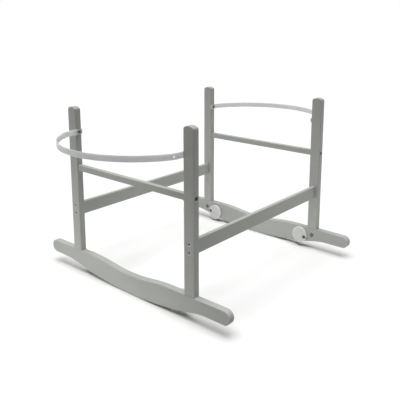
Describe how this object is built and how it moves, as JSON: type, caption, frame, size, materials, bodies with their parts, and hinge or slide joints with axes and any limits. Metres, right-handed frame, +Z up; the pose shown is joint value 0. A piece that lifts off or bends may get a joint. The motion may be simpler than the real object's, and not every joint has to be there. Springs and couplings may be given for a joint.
{
  "type": "rocking bassinet stand",
  "caption": "Rocking stand for a basket: two rocker end frames with tall posts joined by rails, bowed retaining strips at the ends and eccentric floor stoppers.",
  "frame": {"origin": "on the floor under the middle of the stand, midway between the two rockers", "axes": "+X from the left end frame to the right one, +Y from the front rail to the rear one, +Z up; the rockers rock about X"},
  "size_m": [0.839, 0.622, 0.443],
  "materials": {
    "painted_wood": "satin grey paint",
    "white_plastic": "satin",
    "bright_zinc": "zinc plated",
    "dark_steel": "blackened",
    "cast_zinc": "as cast",
    "bare_beech": "bare"
  },
  "bodies": {
    "frame": {"rocker_left": "painted_wood", "rocker_right": "painted_wood", "post_left_front": "painted_wood", "post_left_rear": "painted_wood", "post_right_front": "painted_wood", "post_right_rear": "painted_wood", "side_rail_front": "painted_wood", "side_rail_rear": "painted_wood", "cross_rail_left": "painted_wood", "cross_rail_right": "painted_wood", "side_rail_screws": "bright_zinc", "cross_rail_screws": "dark_steel", "strip_screws": "dark_steel", "stopper_bolts": "dark_steel", "stopper_washers": "bright_zinc", "stopper_inserts": "bright_zinc", "cam_locks": "cast_zinc", "cam_pins": "bright_zinc", "joint_dowels": "bare_beech"},
    "retaining_strip_left": {"retaining_strip_left": "white_plastic"},
    "retaining_strip_right": {"retaining_strip_right": "white_plastic"},
    "stopper_left_front": {"stopper_left_front": "white_plastic"},
    "stopper_left_rear": {"stopper_left_rear": "white_plastic"},
    "stopper_right_front": {"stopper_right_front": "white_plastic"},
    "stopper_right_rear": {"stopper_right_rear": "white_plastic"}
  },
  "joints": [
    {"name": "retaining_strip_left_swing", "type": "hinge", "parent": "frame", "child": "retaining_strip_left", "pos_m": [-0.2675, 0, 0.379], "axis": [0, 1, 0], "range_deg": [-80, 90]},
    {"name": "stopper_left_front_turn", "type": "hinge", "parent": "frame", "child": "stopper_left_front", "pos_m": [-0.259, -0.177, 0.031], "axis": [-1, 0, 0], "range_deg": [-80, 35]},
    {"name": "stopper_left_rear_turn", "type": "hinge", "parent": "frame", "child": "stopper_left_rear", "pos_m": [-0.259, 0.177, 0.031], "axis": [1, 0, 0], "range_deg": [-84, 31]},
    {"name": "retaining_strip_right_swing", "type": "hinge", "parent": "frame", "child": "retaining_strip_right", "pos_m": [0.2675, 0, 0.379], "axis": [0, -1, 0], "range_deg": [-80, 90]},
    {"name": "stopper_right_front_turn", "type": "hinge", "parent": "frame", "child": "stopper_right_front", "pos_m": [0.259, -0.177, 0.031], "axis": [-1, 0, 0], "range_deg": [-77, 38]},
    {"name": "stopper_right_rear_turn", "type": "hinge", "parent": "frame", "child": "stopper_right_rear", "pos_m": [0.259, 0.177, 0.031], "axis": [1, 0, 0], "range_deg": [-97.5, 17.5]}
  ]
}
